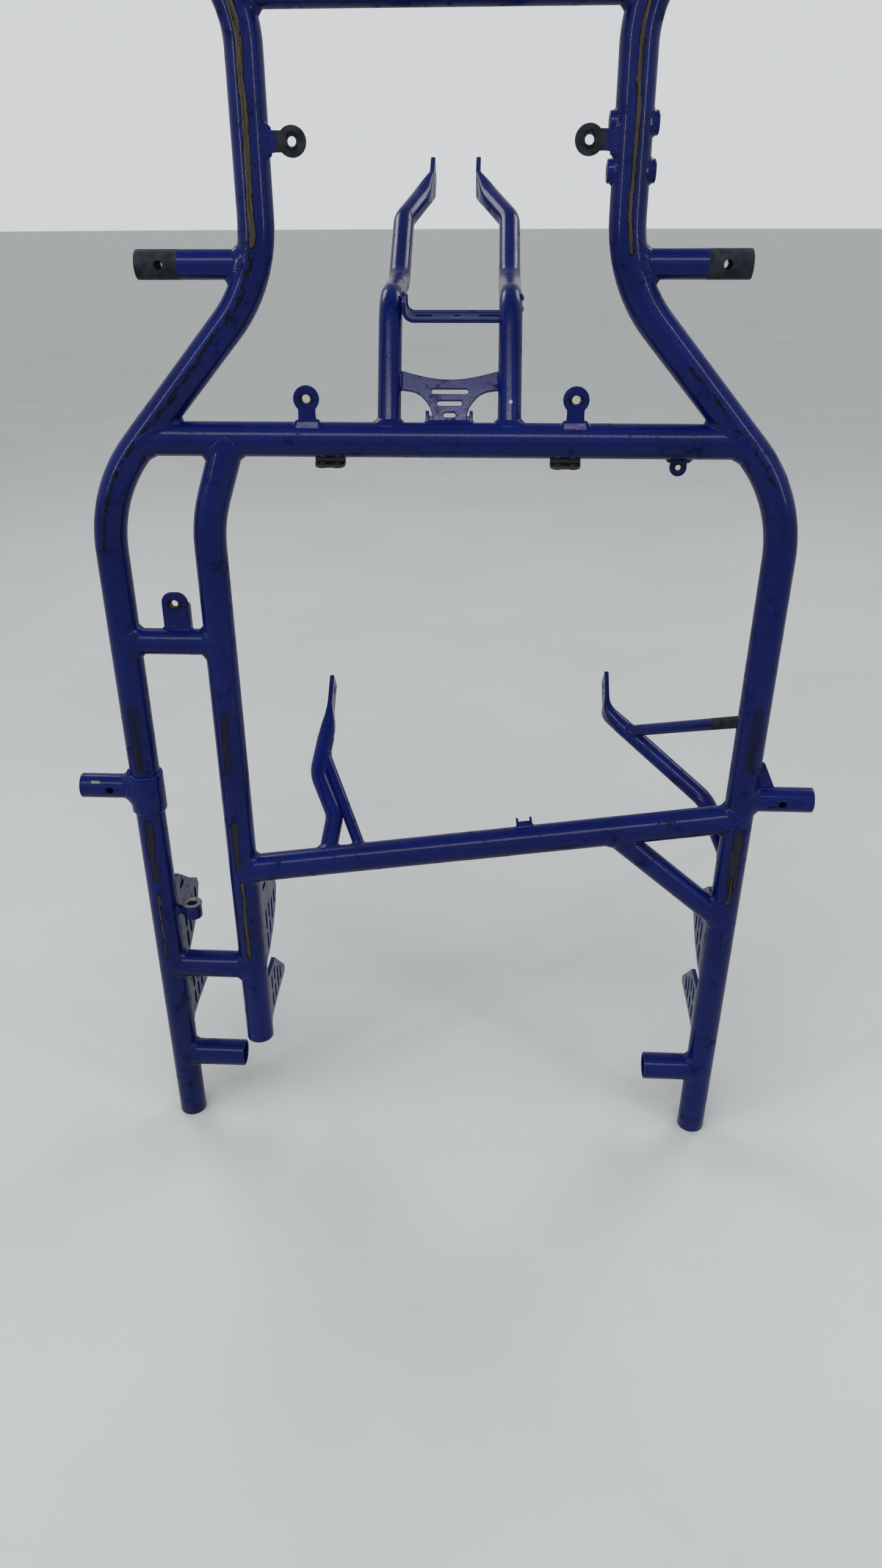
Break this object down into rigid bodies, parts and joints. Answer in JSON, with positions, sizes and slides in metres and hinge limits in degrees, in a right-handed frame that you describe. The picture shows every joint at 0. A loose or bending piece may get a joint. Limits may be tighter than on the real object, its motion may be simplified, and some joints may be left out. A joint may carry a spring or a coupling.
{
  "type": "kart chassis frame",
  "caption": "Welded round-tube kart chassis frame with waisted main rails, cross tubes, bumper and side pod stubs, seat stays, steering uprights and axle bearing hangers.",
  "frame": {"origin": "middle of the frame's box, at the bottom, where it stands on the tail ends of its main rails", "axes": "+Z from the tail to the nose, upwards as it stands; +Y towards the frame's upper side, where the seat and the steering go; +X towards the kart's left side, which is at the right when one looks at its underside"},
  "size_m": [0.798, 0.3936, 1.496],
  "materials": {
    "blue_powder_coat": "glossy powder coat, scraped to bare metal on the underside",
    "black_paint": "satin black"
  },
  "bodies": {
    "root": {"cable_bracket_left": "black_paint", "cable_bracket_right": "black_paint", "cable_guide": "blue_powder_coat", "centre_cross_tube": "blue_powder_coat", "column_foot_lug": "blue_powder_coat", "column_strap": "blue_powder_coat", "diagonal_brace": "blue_powder_coat", "engine_bay_bracket": "blue_powder_coat", "engine_bay_tube_front": "blue_powder_coat", "engine_bay_tube_rear": "blue_powder_coat", "engine_rail": "blue_powder_coat", "front_bumper_stub_left": "blue_powder_coat", "front_bumper_stub_right": "blue_powder_coat", "front_cross_tube": "blue_powder_coat", "front_hoop": "blue_powder_coat", "hanger_engine_front_lug": "blue_powder_coat", "hanger_engine_rear_lug": "blue_powder_coat", "hanger_left_front_lug": "blue_powder_coat", "hanger_left_rear_lug": "blue_powder_coat", "hanger_right_front_lug": "blue_powder_coat", "hanger_right_rear_lug": "blue_powder_coat", "kingpin_yoke_left": "blue_powder_coat", "kingpin_yoke_right": "blue_powder_coat", "left_main_rail": "blue_powder_coat", "pedal_clevis_left": "blue_powder_coat", "pedal_clevis_right": "blue_powder_coat", "plate_channel": "blue_powder_coat", "pod_stub_gusset": "blue_powder_coat", "pod_stub_sleeve": "blue_powder_coat", "rail_boss_front": "blue_powder_coat", "rail_boss_rear": "blue_powder_coat", "rear_bumper_stub_left": "blue_powder_coat", "rear_bumper_stub_right": "blue_powder_coat", "rear_cross_tube": "blue_powder_coat", "right_main_rail": "blue_powder_coat", "seat_stay_left": "blue_powder_coat", "seat_stay_right": "blue_powder_coat", "seat_strut_left": "blue_powder_coat", "seat_strut_right": "blue_powder_coat", "side_pod_stub_front_left": "blue_powder_coat", "side_pod_stub_front_right": "blue_powder_coat", "side_pod_stub_rear_left": "blue_powder_coat", "side_pod_stub_rear_right": "blue_powder_coat", "slotted_plate": "blue_powder_coat", "small_tab": "blue_powder_coat", "steering_upright_left": "blue_powder_coat", "steering_upright_right": "blue_powder_coat", "threaded_bush": "blue_powder_coat", "tray_tab_front_left": "blue_powder_coat", "tray_tab_front_right": "blue_powder_coat", "tray_tab_rear_left": "blue_powder_coat", "tray_tab_rear_right": "blue_powder_coat"}
  },
  "joints": []
}
